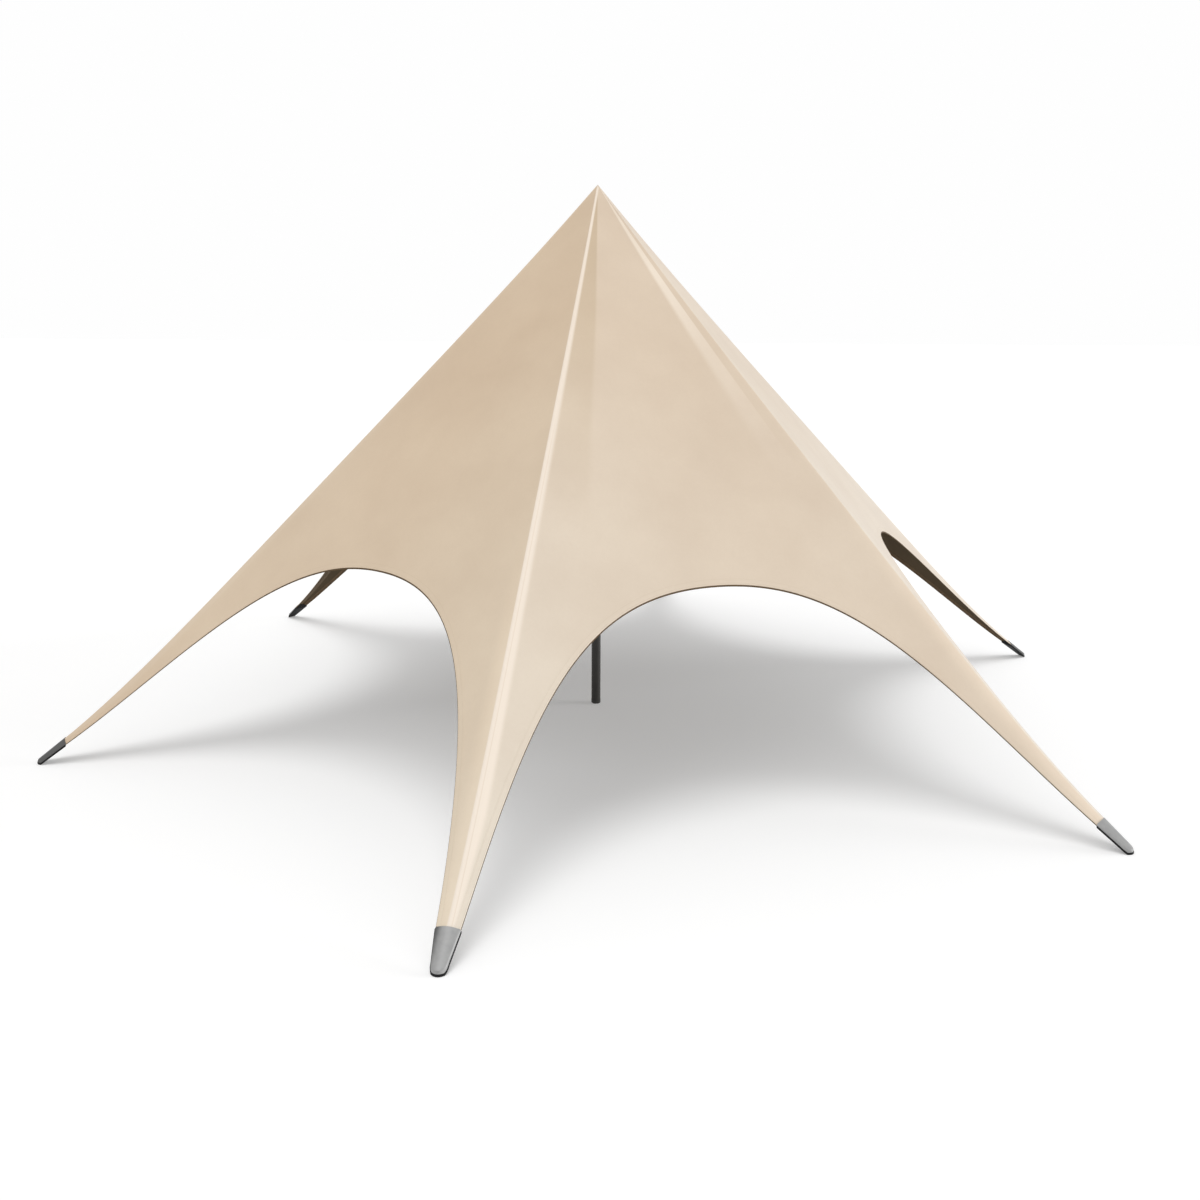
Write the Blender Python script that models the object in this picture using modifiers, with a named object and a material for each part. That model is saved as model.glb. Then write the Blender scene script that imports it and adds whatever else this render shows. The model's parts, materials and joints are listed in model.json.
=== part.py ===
"""Star tent: a six-armed fabric canopy hung from one central mast, its arms running down to capped feet.

Units are metres and +Z is up. The origin is on the floor, on the mast's axis. The front arm points along -Y.

Two kinds of plan coordinates are used. A bay is the sector between two arms, with y outward along its middle
and x across it. Along an arm, run is the distance out from the mast and side is the distance from the ridge.
"""

import math

import bmesh
import bpy
from mathutils import Vector

# Canopy
ARM_COUNT = 6
SPREAD = 5.5  # mast axis to the tip of each foot
PEAK_HEIGHT = 5.27
TIP_HEIGHT = 0.047  # height of the ridge's line over the foot's tip
RIDGE_SAG = 0.160  # how far a ridge hangs below a straight line, apart from its sweep at the peak
SAG_POWER = 8  # the sag bends a ridge most towards the foot
PEAK_SWEEP = 0.46  # makes a ridge steeper near the peak
SWEEP_POWER = 4
PANEL_DISH = 0.049  # how far the middle of a panel is drawn in at the arch
DISH_POWER = 3
RIDGE_ROUNDING = 0.04  # half the width over which a ridge is rounded off, at the foot
FABRIC_THICKNESS = 0.008

# Arched edge of a bay, from its crown to the foot cap
ARCH_REACH = 2.86  # mast axis to the crown
ARCH_FULLNESS = 1.07  # how far the crown's curve runs on sideways before it turns down the arm
SHOULDER_TO_TIP = 1.70  # from where the curve straightens along the arm to the foot's tip
SHOULDER_SIDE = 0.218
ARM_TIP_HALF_WIDTH = 0.084

# Webbing under the canopy
HEM_WIDTH = 0.040
HEM_THICKNESS = 0.006
RIDGE_WEBBING_WIDTH = 0.050
RIDGE_WEBBING_THICKNESS = 0.004
PATCH_RADIUS = 0.45
PATCH_THICKNESS = 0.004

# Foot caps
CAP_LENGTH = 0.262  # in plan, from its upper end to the foot's tip
CAP_BOW = 0.014  # how much further out its upper end lies on the ridge than at the edges
CAP_PROUD = 0.003  # how far a cap stands out past the fabric
CAP_LIP = 0.005  # how far it reaches below the arm's edge
TOE_HALF_WIDTH = 0.058
TOE_LENGTH = 0.075  # the rounded end, in plan
TOE_DROP = 0.012  # how much thinner the cap has become at its tip
SOLE_THICKNESS = 0.018
TOE_SOLE_THICKNESS = 0.018
SOLE_PROUD = 0.005  # how far a sole stands out past its cap
SOLE_CONTACT_LENGTH = 0.025  # the flat length that stands on the floor

# Mast
MAST_DIAMETER = 0.096
MAST_WALL = 0.004
LOWER_TUBE_TOP = 2.70
TUBE_OVERLAP = 0.30
TELESCOPE_CLEARANCE = 0.0005
COLLAR_WALL = 0.010  # how far the collar stands out from the lower tube
COLLAR_HEIGHT = 0.09
COLLAR_CHAMFER = 0.008
BASE_LEDGE = 0.001  # how far the base stands out from the lower tube
BASE_HEIGHT = 0.05
BASE_CHAMFER = 0.008
SPIGOT_LENGTH = 0.08
HEAD_LEDGE = 0.017  # how far the head stands out from the lower tube's line
HEAD_RIM = 0.015

GAP = 0.0003
LAYER_GAP = 0.0004  # upright gap between the canopy and what is sewn under it
MERGE = 1e-6

# How finely the surfaces are divided
ROWS_ABOVE_ARCH = 5
ROWS_ALONG_ARCH = 11
COLUMNS_ACROSS = 4
CAP_ROWS = 4
CAP_COLUMNS = 10
NOSE_ROWS = 4
ROUND_STEPS = 28

HALF_BAY = math.pi / ARM_COUNT
SIN_HALF = math.sin(HALF_BAY)
COS_HALF = math.cos(HALF_BAY)
TAN_HALF = math.tan(HALF_BAY)
HALF_WEBBING = RIDGE_WEBBING_WIDTH / 2
SHOULDER_RUN = SPREAD - SHOULDER_TO_TIP
CAP_START = SPREAD - CAP_LENGTH
MAST_RADIUS = MAST_DIAMETER / 2
HEAD_RADIUS = MAST_RADIUS + HEAD_LEDGE
UPPER_DIAMETER = MAST_DIAMETER - 2 * MAST_WALL - 2 * TELESCOPE_CLEARANCE
SAG_SHARE = SAG_POWER ** (-1 / (SAG_POWER - 1))
SAG_SCALE = RIDGE_SAG / (SAG_SHARE - SAG_SHARE**SAG_POWER)

ARM_NAMES = {
    "front": -90,
    "front_right": -30,
    "back_right": 30,
    "back": 90,
    "back_left": 150,
    "front_left": 210,
}
BAY_NAMES = {
    "front_right": -60,
    "right": 0,
    "back_right": 60,
    "back_left": 120,
    "left": 180,
    "front_left": 240,
}


def clear_scene():
    for obj in list(bpy.data.objects):
        bpy.data.objects.remove(obj)


def make_material(name, color, roughness, metallic=0.0):
    material = bpy.data.materials.new(name)
    material.use_nodes = True
    shader = material.node_tree.nodes["Principled BSDF"]
    shader.inputs["Base Color"].default_value = (*color, 1.0)
    shader.inputs["Roughness"].default_value = roughness
    shader.inputs["Metallic"].default_value = metallic
    return material


def make_materials():
    return {
        "fabric": make_material("fabric", (0.72, 0.60, 0.46), 0.55),
        "hem": make_material("hem", (0.10, 0.07, 0.045), 0.75),
        "webbing": make_material("webbing", (0.16, 0.12, 0.08), 0.75),
        "cap": make_material("cap", (0.36, 0.36, 0.36), 0.4, 0.3),
        "sole": make_material("sole", (0.012, 0.012, 0.012), 0.7),
        "mast": make_material("mast", (0.035, 0.034, 0.032), 0.45, 0.2),
        "head": make_material("head", (0.02, 0.02, 0.02), 0.5),
    }


# The canopy's outer surface


def ridge_height(run):
    """Height of a ridge: a straight line from the peak to the foot's tip, less its sag and its sweep."""
    share = run / SPREAD
    line = PEAK_HEIGHT * (1 - share) + TIP_HEIGHT * share
    sag = SAG_SCALE * (share - share**SAG_POWER)
    sweep = PEAK_SWEEP * share * max(0.0, 1 - share) ** SWEEP_POWER
    return line - sag - sweep


def canopy_height(run, side):
    """Height of the outer surface. Each bay falls outward as its ridges do, rounded at the ridge and a
    little dished between ridges."""
    side = abs(side)
    rounding = RIDGE_ROUNDING * max(0.0, (run - PATCH_RADIUS) / (SPREAD - PATCH_RADIUS))
    across = side / (run * TAN_HALF)
    eased = math.hypot(side, rounding) - rounding * max(0.0, 1 - across**2) ** 2
    reach = run * COS_HALF + eased * SIN_HALF
    offset = (run * SIN_HALF - side * COS_HALF) / (reach * TAN_HALF)
    dish = PANEL_DISH * (reach / ARCH_REACH) ** DISH_POWER * max(0.0, 1 - offset**2)
    return ridge_height((reach + dish) / COS_HALF)


def bow(run, side):
    """How much further out than at its edges an arm ends. Only rows at the cap's upper end have it."""
    if abs(run - CAP_START) > 2 * GAP:
        return 0.0
    return CAP_BOW * max(0.0, 1 - (side / ARM_TIP_HALF_WIDTH) ** 2)


def bay_point(run, side):
    """A point of the outer surface in bay coordinates, on the bay's +X half."""
    run += bow(run, side)
    x = run * SIN_HALF - side * COS_HALF
    y = run * COS_HALF + side * SIN_HALF
    return Vector((x, y, canopy_height(run, side)))


def arm_point(run, side):
    """A point of the outer surface in an arm's coordinates, with the arm along +Y."""
    run += bow(run, side)
    return Vector((side, run, canopy_height(run, side)))


def arch_curve(share):
    """(run, side) of the arched edge and of its inward normal, from the crown at 0 to the cap at 1."""
    crown = Vector((ARCH_REACH * COS_HALF, ARCH_REACH * SIN_HALF))
    points = (
        crown,
        crown + ARCH_FULLNESS * Vector((SIN_HALF, -COS_HALF)),
        Vector((SHOULDER_RUN, SHOULDER_SIDE)),
        Vector((CAP_START, ARM_TIP_HALF_WIDTH)),
    )
    rest = 1 - share
    weights = (rest**3, 3 * share * rest**2, 3 * share**2 * rest, share**3)
    place = sum((w * p for w, p in zip(weights, points)), Vector((0, 0)))
    slopes = (rest**2, 2 * share * rest, share**2)
    along = sum((w * (b - a) for w, a, b in zip(slopes, points, points[1:])), Vector((0, 0)))
    return place, Vector((along.y, -along.x)).normalized()


def hem_inner(share):
    """The inner edge of the hem webbing, which meets the cap squarely."""
    place, inward = arch_curve(share)
    inner = place + HEM_WIDTH * inward
    inner.x += share**4 * (CAP_START - (CAP_START + HEM_WIDTH * arch_curve(1)[1].x))
    return inner


def arch_shares():
    return [step / ROWS_ALONG_ARCH for step in range(ROWS_ALONG_ARCH + 1)]


def ridge_runs():
    """Rows along a ridge between the peak patch and the cap, shared by the panels and the ridge webbing."""
    crown_run = hem_inner(0).x
    step = (crown_run - PATCH_RADIUS) / ROWS_ABOVE_ARCH
    above = [PATCH_RADIUS + step * row for row in range(ROWS_ABOVE_ARCH)]
    return above + [hem_inner(share).x for share in arch_shares()]


# Mesh helpers


def slab_mesh(name, rows, underside):
    """A closed slab from a grid of points on its top face. underside gives the point below each one.
    Points that coincide are merged, so a row or column may shrink to one point."""
    bm = bmesh.new()
    bmesh.ops.create_grid(bm, x_segments=len(rows[0]) - 1, y_segments=len(rows) - 1, size=1)
    order = sorted(bm.verts, key=lambda v: (round(v.co.y, 4), round(v.co.x, 4)))
    points = [point for row in rows for point in row]
    for vert, point in zip(order, points):
        vert.co = point
    bmesh.ops.remove_doubles(bm, verts=bm.verts, dist=MERGE)
    bmesh.ops.recalc_face_normals(bm, faces=bm.faces)
    if sum(face.normal.z for face in bm.faces) < 0:
        bmesh.ops.reverse_faces(bm, faces=bm.faces)
    top = list(bm.faces)
    lower = bmesh.ops.extrude_face_region(bm, geom=top, use_keep_orig=True)
    for element in lower["geom"]:
        if isinstance(element, bmesh.types.BMVert):
            element.co = underside(element.co)
    bmesh.ops.recalc_face_normals(bm, faces=bm.faces)
    mesh = bpy.data.meshes.new(name)
    bm.to_mesh(mesh)
    bm.free()
    return mesh


def lowered(distance):
    return lambda point: point - Vector((0, 0, distance))


def open_at_middle(mesh):
    """Takes away the faces of a half piece that lie on the bay's middle plane, where its mirror joins it."""
    bm = bmesh.new()
    bm.from_mesh(mesh)
    middle = [face for face in bm.faces if all(abs(v.co.x) < MERGE for v in face.verts)]
    bmesh.ops.delete(bm, geom=middle, context="FACES")
    bm.to_mesh(mesh)
    bm.free()


def turned_mesh(name, profile):
    """A solid of revolution from (radius, height) points that run down its outer side, top to bottom."""
    mesh = bpy.data.meshes.new(name)
    edges = [(i, i + 1) for i in range(len(profile) - 1)]
    if profile[0][0] > 0:
        edges.append((len(profile) - 1, 0))
    mesh.from_pydata([(radius, 0, height) for radius, height in profile], edges, [])
    return mesh


def add_piece(collection, name, mesh, material, azimuth=0.0, mirror=False, turned=False):
    """Adds an object turned about the mast so that its +Y points along the azimuth, in degrees."""
    obj = bpy.data.objects.new(name, mesh)
    collection.objects.link(obj)
    obj.rotation_euler.z = math.radians(azimuth - 90)
    if not mesh.materials:
        mesh.materials.append(material)
    if mirror:
        halves = obj.modifiers.new("halves", "MIRROR")
        halves.merge_threshold = 1e-5
    if turned:
        screw = obj.modifiers.new("turn", "SCREW")
        screw.steps = screw.render_steps = ROUND_STEPS
        screw.use_merge_vertices = True
        screw.merge_threshold = 1e-5
        screw.use_smooth_shade = True
    return obj


# Canopy pieces


def panel_rows():
    """The half panel beside one ridge. Rows run square to the ridge, out to the bay's middle above the arch
    and to the arched edge below it, and the last column is the hem."""
    inset = GAP / 2
    rows = []
    for run in [inset / TAN_HALF, PATCH_RADIUS / 2] + ridge_runs()[:ROWS_ABOVE_ARCH]:
        middle = Vector((run, run * TAN_HALF))
        rows.append(panel_row(inset, middle, middle))
    for share in arch_shares():
        rows.append(panel_row(inset, hem_inner(share), arch_curve(share)[0]))
    return rows


def panel_row(inset, inner, edge):
    first = min(HALF_WEBBING, inner.y)
    sides = [inset, first]
    sides += [first + (inner.y - first) * step / COLUMNS_ACROSS for step in range(1, COLUMNS_ACROSS + 1)]
    return [bay_point(inner.x, side) for side in sides] + [bay_point(edge.x, edge.y)]


def add_canopy_panels(collection, materials):
    mesh = slab_mesh("canopy_panel", panel_rows(), lowered(FABRIC_THICKNESS))
    open_at_middle(mesh)
    for name, azimuth in BAY_NAMES.items():
        add_piece(collection, f"canopy_panel_{name}", mesh, materials["fabric"], azimuth, mirror=True)


def add_hem_webbings(collection, materials):
    """The dark webbing sewn under each arched edge, from cap to cap."""
    below = lowered(FABRIC_THICKNESS + LAYER_GAP)
    rows = []
    for share in arch_shares():
        inner, edge = hem_inner(share), arch_curve(share)[0]
        rows.append([below(bay_point(inner.x, inner.y)), below(bay_point(edge.x, edge.y))])
    mesh = slab_mesh("hem_webbing", rows, lowered(HEM_THICKNESS))
    open_at_middle(mesh)
    for name, azimuth in BAY_NAMES.items():
        add_piece(collection, f"hem_webbing_{name}", mesh, materials["hem"], azimuth, mirror=True)


def add_ridge_webbings(collection, materials):
    """The load webbing sewn under each ridge, from the peak patch to the cap."""
    below = lowered(FABRIC_THICKNESS + LAYER_GAP)
    runs = ridge_runs()
    runs[0] += GAP
    rows = [[below(arm_point(run, side)) for side in (-HALF_WEBBING, 0, HALF_WEBBING)] for run in runs]
    mesh = slab_mesh("ridge_webbing", rows, lowered(RIDGE_WEBBING_THICKNESS))
    for name, azimuth in ARM_NAMES.items():
        add_piece(collection, f"ridge_webbing_{name}", mesh, materials["webbing"], azimuth)


def add_peak_patch(collection, materials):
    """The round reinforcement under the peak, which hangs on the mast head."""
    below = lowered(FABRIC_THICKNESS + LAYER_GAP)
    steps = 4 * ARM_COUNT
    rows = []
    for share in (0, 0.5, 1):
        ring = []
        for step in range(steps + 1):
            turn = 2 * math.pi * step / steps
            from_ridge = (turn + HALF_BAY) % (2 * HALF_BAY) - HALF_BAY
            radius = PATCH_RADIUS * share
            height = PEAK_HEIGHT
            if share:
                height = canopy_height(radius * math.cos(from_ridge), radius * math.sin(from_ridge))
            ring.append(below(Vector((radius * math.sin(turn), radius * math.cos(turn), height))))
        rows.append(ring)
    mesh = slab_mesh("peak_patch", rows, lowered(PATCH_THICKNESS))
    add_piece(collection, "peak_patch", mesh, materials["webbing"], ARM_NAMES["back"])


# Foot caps


def cap_half_width(run):
    nose = SPREAD - TOE_LENGTH
    if run > nose:
        return TOE_HALF_WIDTH * math.sqrt(max(0.0, 1 - ((run - nose) / TOE_LENGTH) ** 2))
    share = (run - CAP_START) / (nose - CAP_START)
    return (1 - share) * (ARM_TIP_HALF_WIDTH + CAP_PROUD) + share * TOE_HALF_WIDTH


def cap_runs():
    nose = SPREAD - TOE_LENGTH
    straight = [CAP_START + GAP + (nose - CAP_START - GAP) * step / CAP_ROWS for step in range(CAP_ROWS)]
    quarter = math.pi / 2
    return straight + [nose + TOE_LENGTH * math.sin(quarter * step / NOSE_ROWS) for step in range(NOSE_ROWS + 1)]


def cap_top(run, side):
    """A point on top of a cap, which is rounder across than the arm's end."""
    run += bow(run, side)
    half = cap_half_width(min(run, SPREAD - TOE_LENGTH))
    edge = canopy_height(run, half)
    crown = canopy_height(run, 0.0) - edge
    share = (run - CAP_START) / (SPREAD - CAP_START)
    height = edge + crown * max(0.0, 1 - (side / half) ** 2) + CAP_PROUD - TOE_DROP * share**2
    return Vector((side, run, height))


def arm_underside(run):
    """The straight line along a cap's lower edge, from the arm's edge down to the contact on the floor."""
    start = canopy_height(CAP_START, ARM_TIP_HALF_WIDTH) - CAP_LIP
    end_run = SPREAD - SOLE_CONTACT_LENGTH
    share = (run - CAP_START) / (end_run - CAP_START)
    return start + share * (SOLE_THICKNESS - start)


def cap_bottom(run):
    return max(TOE_SOLE_THICKNESS, arm_underside(run))


def sole_top(run, side):
    run += bow(run, side)
    return Vector((side, run, cap_bottom(run) - GAP))


def add_foot_caps(collection, materials):
    cap_rows = []
    sole_rows = []
    for run in cap_runs():
        half = cap_half_width(run)
        sole_half = half + SOLE_PROUD
        shares = [2 * step / CAP_COLUMNS - 1 for step in range(CAP_COLUMNS + 1)]
        cap_rows.append([cap_top(run, half * share) for share in shares])
        sole_rows.append([sole_top(run, sole_half * share) for share in shares])
    cap = slab_mesh("foot_cap", cap_rows, lambda point: Vector((point.x, point.y, cap_bottom(point.y))))
    sole = slab_mesh(
        "foot_sole",
        sole_rows,
        lambda point: Vector((point.x, point.y, max(0.0, arm_underside(point.y) - SOLE_THICKNESS))),
    )
    for name, azimuth in ARM_NAMES.items():
        add_piece(collection, f"foot_cap_{name}", cap, materials["cap"], azimuth)
        add_piece(collection, f"foot_sole_{name}", sole, materials["sole"], azimuth)


# Mast


def peak_slope():
    """Fall of a bay's middle line for each metre outward, near the peak."""
    return (PEAK_HEIGHT - TIP_HEIGHT + SAG_SCALE + PEAK_SWEEP) / SPREAD / COS_HALF


def head_tip_height():
    return PEAK_HEIGHT - FABRIC_THICKNESS - PATCH_THICKNESS - 2 * LAYER_GAP


def head_rim_height():
    return head_tip_height() - peak_slope() * HEAD_RADIUS


def tube_mesh(name, diameter, bottom, top):
    outer = diameter / 2
    inner = outer - MAST_WALL
    return turned_mesh(name, [(outer, top), (outer, bottom), (inner, bottom), (inner, top)])


def add_mast(collection, materials):
    seat = head_rim_height() - HEAD_RIM
    lower = tube_mesh("mast_lower_tube", MAST_DIAMETER, BASE_HEIGHT + GAP, LOWER_TUBE_TOP)
    upper = tube_mesh("mast_upper_tube", UPPER_DIAMETER, LOWER_TUBE_TOP - TUBE_OVERLAP, seat - GAP)
    meshes = {
        "mast_lower_tube": (lower, "mast"),
        "mast_upper_tube": (upper, "mast"),
        "mast_base": (base_mesh(), "mast"),
        "mast_collar": (collar_mesh(), "head"),
        "mast_head": (head_mesh(seat), "head"),
    }
    for name, (mesh, material) in meshes.items():
        add_piece(collection, name, mesh, materials[material], ARM_NAMES["back"], turned=True)


def base_mesh():
    """The foot of the mast: a chamfered disc with a spigot inside the lower tube."""
    outer = MAST_RADIUS + BASE_LEDGE
    spigot = MAST_RADIUS - MAST_WALL - GAP
    return turned_mesh(
        "mast_base",
        [
            (0, BASE_HEIGHT + SPIGOT_LENGTH),
            (spigot, BASE_HEIGHT + SPIGOT_LENGTH),
            (spigot, BASE_HEIGHT),
            (outer, BASE_HEIGHT),
            (outer, BASE_CHAMFER),
            (outer - BASE_CHAMFER, 0),
            (0, 0),
        ],
    )


def collar_mesh():
    """The clamp at the joint: it sits on top of the lower tube and grips the upper one."""
    outer = MAST_RADIUS + COLLAR_WALL
    top = LOWER_TUBE_TOP + COLLAR_HEIGHT / 2
    bottom = LOWER_TUBE_TOP - COLLAR_HEIGHT / 2
    grip = UPPER_DIAMETER / 2 + GAP
    sleeve = MAST_RADIUS + GAP
    return turned_mesh(
        "mast_collar",
        [
            (grip, top),
            (outer - COLLAR_CHAMFER, top),
            (outer, top - COLLAR_CHAMFER),
            (outer, bottom + COLLAR_CHAMFER),
            (outer - COLLAR_CHAMFER, bottom),
            (sleeve, bottom),
            (sleeve, LOWER_TUBE_TOP + GAP),
            (grip, LOWER_TUBE_TOP + GAP),
        ],
    )


def head_mesh(seat):
    """The pointed head that fills the peak, with a spigot inside the upper tube."""
    spigot = UPPER_DIAMETER / 2 - MAST_WALL - GAP
    return turned_mesh(
        "mast_head",
        [
            (0, head_tip_height()),
            (HEAD_RADIUS, head_rim_height()),
            (HEAD_RADIUS, seat),
            (spigot, seat),
            (spigot, seat - SPIGOT_LENGTH),
            (0, seat - SPIGOT_LENGTH),
        ],
    )


def main():
    clear_scene()
    collection = bpy.data.collections.new("star_tent")
    bpy.context.scene.collection.children.link(collection)
    materials = make_materials()
    add_canopy_panels(collection, materials)
    add_hem_webbings(collection, materials)
    add_ridge_webbings(collection, materials)
    add_peak_patch(collection, materials)
    add_foot_caps(collection, materials)
    add_mast(collection, materials)


main()
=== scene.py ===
"""Looks of the star tent: its cloth, webbing, foot caps and mast, under soft studio light.

Units are metres and +Z is up. The origin is on the floor, on the mast's axis. The front arm points along -Y.
A bay is the sector between two arms. Along an arm, run is the distance out from the mast and side is the
distance from the ridge. The canopy's form follows the same sizes as the solids of the frame.
"""

import json
import math
from types import SimpleNamespace

import bmesh
import bpy
import numpy as np
from mathutils import Matrix, Vector

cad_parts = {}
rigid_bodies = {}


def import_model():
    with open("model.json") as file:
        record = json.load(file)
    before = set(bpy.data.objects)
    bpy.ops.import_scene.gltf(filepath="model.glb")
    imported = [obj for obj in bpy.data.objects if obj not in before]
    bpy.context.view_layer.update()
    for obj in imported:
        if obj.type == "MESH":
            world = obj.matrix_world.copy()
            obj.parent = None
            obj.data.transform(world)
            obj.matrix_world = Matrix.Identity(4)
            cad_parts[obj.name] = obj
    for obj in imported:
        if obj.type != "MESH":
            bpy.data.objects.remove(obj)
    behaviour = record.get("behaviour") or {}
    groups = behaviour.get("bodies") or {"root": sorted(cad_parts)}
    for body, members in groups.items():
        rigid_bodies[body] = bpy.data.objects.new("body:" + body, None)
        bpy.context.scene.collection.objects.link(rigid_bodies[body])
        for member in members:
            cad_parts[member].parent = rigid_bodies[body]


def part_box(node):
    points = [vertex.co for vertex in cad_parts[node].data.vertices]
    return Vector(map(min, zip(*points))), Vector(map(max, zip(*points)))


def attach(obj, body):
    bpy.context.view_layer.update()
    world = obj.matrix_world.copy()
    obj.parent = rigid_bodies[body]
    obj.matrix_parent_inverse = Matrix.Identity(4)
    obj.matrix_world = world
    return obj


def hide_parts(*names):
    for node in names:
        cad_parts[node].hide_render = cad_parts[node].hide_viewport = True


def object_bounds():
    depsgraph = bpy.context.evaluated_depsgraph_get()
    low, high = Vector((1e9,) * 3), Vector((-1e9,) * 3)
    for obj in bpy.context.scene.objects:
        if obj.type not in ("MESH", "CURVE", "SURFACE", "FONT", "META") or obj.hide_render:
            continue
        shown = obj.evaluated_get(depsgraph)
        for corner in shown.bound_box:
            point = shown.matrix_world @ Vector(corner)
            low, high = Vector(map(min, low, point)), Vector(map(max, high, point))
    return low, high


for startup_object in list(bpy.data.objects):
    bpy.data.objects.remove(startup_object)

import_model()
cad_low, cad_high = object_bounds()

# Canopy, as in the solids
ARM_COUNT = 6
SPREAD = cad_high.y
PEAK_HEIGHT = 5.27
TIP_HEIGHT = 0.047
RIDGE_SAG = 0.160
SAG_POWER = 8
PEAK_SWEEP = 0.46
SWEEP_POWER = 4
PANEL_DISH = 0.049
DISH_POWER = 3
RIDGE_ROUNDING = 0.04
PATCH_RADIUS = 0.45
ARCH_REACH = 2.86
ARCH_FULLNESS = 1.07
SHOULDER_RUN = SPREAD - 1.70
SHOULDER_SIDE = 0.218
ARM_TIP_HALF_WIDTH = 0.084
CAP_START = SPREAD - 0.262
CAP_BOW = 0.014
HEM_WIDTH = 0.040
LAYER_GAP = 0.0004
GAP = 0.0003

# Cloth
CLOTH_THICKNESS = 0.003
BEAD_HEIGHT = 0.0022  # the ridge seam's raised bead
BEAD_WIDTH_PEAK = 0.006
BEAD_WIDTH_FOOT = 0.012
BEAD_FADE_PEAK = 0.12  # lengths over which the bead rises at the peak, sinks at the cap and stops at the edge
BEAD_FADE_CAP = 0.3
BEAD_FADE_EDGE = 0.02
BEAD_INSIDE = 0.6  # how much of the bead shows on the inner face
HEM_STEP = 0.0012  # the folded hem is this much thicker
EDGE_RADIUS = 0.003
TENSION_WAVE = 0.0035  # slow undulation of the tensioned cloth
WAVE_FROM_RIDGE = 0.35  # the undulation fades over these distances from the ridges and the edges
WAVE_FROM_EDGE = 0.5
FAN_WAVES = 21  # pulls round the whole tent, which grow from FAN_START over FAN_RISE
FAN_START = 1.2
FAN_RISE = 1.6
FIRST_PHASE = 0.9  # of the waves in the first bay, and the step from bay to bay
PHASE_STEP = 1.7
THINNEST_CLOTH = 0.0008

# Edge cord and tape under the arches
EDGE_CORD_RADIUS = 0.008
CORD_OVERHANG = 0.003  # the cord stands out past the cloth's edge by this
CORD_SLIMMING = 0.45  # how much flatter the cord is sewn at the feet
EDGE_TAPE_THICKNESS = 0.0025
TAPE_INSETS = (HEM_WIDTH, 0.028, 0.014)
TAPE_MIDDLE = 0.020
HEM_STATIONS = 150

# Ridge straps and peak patch
STRAP_WIDTH = 0.050
STRAP_THICKNESS = 0.003
STRAP_SELVEDGE = 0.002
STRAP_ROUNDING = 0.0007
STRAP_STATIONS = 90
PATCH_THICKNESS = 0.004
PATCH_RADII = (0.0, 0.03, 0.07, 0.12, 0.18, 0.25, 0.32, 0.38, 0.42, 0.44, 0.447, PATCH_RADIUS)
PATCH_ROUNDING = 0.001
PATCH_STEPS = 120

# Foot caps
CAP_PROUD = 0.003
CAP_LIP = 0.005
TOE_HALF_WIDTH = 0.058
TOE_LENGTH = 0.075
TOE_DROP = 0.012
SOLE_THICKNESS = 0.018
TOE_SOLE_THICKNESS = 0.018
SOLE_PROUD = 0.005
SOLE_CONTACT_LENGTH = 0.025
CAP_EDGE_RADIUS = 0.008
CAP_LEAST_SIDE = 0.004  # the least height of the side below the rounded shoulder
CAP_RIM = 0.0015
CAP_RIM_RINGS = ((0.0, 0.0045), (0.6, 0.0032), (0.7, 0.0012), (0.0, 0.0))  # share of CAP_RIM, height
SOLE_EASE = 0.0006
SOLE_RINGS = ((0.0, 0.0022), (0.0008, 0.0008), (0.0024, 0.0))  # inset and height
BOW_REACH = 0.06  # how far into the cap its bowed end is felt
SEAL_DEPTH = 0.03
SEAL_SLOPE = -0.7  # faces that look back more steeply than this belong to the seal

HALF_BAY = math.pi / ARM_COUNT
SIN_HALF = math.sin(HALF_BAY)
COS_HALF = math.cos(HALF_BAY)
TAN_HALF = math.tan(HALF_BAY)
SAG_SHARE = SAG_POWER ** (-1 / (SAG_POWER - 1))
SAG_SCALE = RIDGE_SAG / (SAG_SHARE - SAG_SHARE**SAG_POWER)

ARM_NAMES = {
    "front": -90,
    "front_right": -30,
    "back_right": 30,
    "back": 90,
    "back_left": 150,
    "front_left": 210,
}
BAY_NAMES = {
    "front_right": -60,
    "right": 0,
    "back_right": 60,
    "back_left": 120,
    "left": 180,
    "front_left": 240,
}

# Camera, from the fit of the tent's feet, peak and edges to the photograph
CAMERA_PLACE = (2.235, -12.000, 4.157)
CAMERA_TURN = 11.413
CAMERA_PITCH = 13.915
CAMERA_LENS = 35.939
SENSOR_WIDTH = 36.0
CAMERA_SHIFT = 0.0177  # the photograph's frame lies a little to the right of the lens's axis


# The canopy's outer surface


def ridge_height(run):
    share = run / SPREAD
    line = PEAK_HEIGHT * (1 - share) + TIP_HEIGHT * share
    sag = SAG_SCALE * (share - share**SAG_POWER)
    sweep = PEAK_SWEEP * share * np.maximum(0, 1 - share) ** SWEEP_POWER
    return line - sag - sweep


def cap_bow(side):
    """How much further out than at its edges an arm ends."""
    return CAP_BOW * np.maximum(0, 1 - (side / ARM_TIP_HALF_WIDTH) ** 2)


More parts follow.
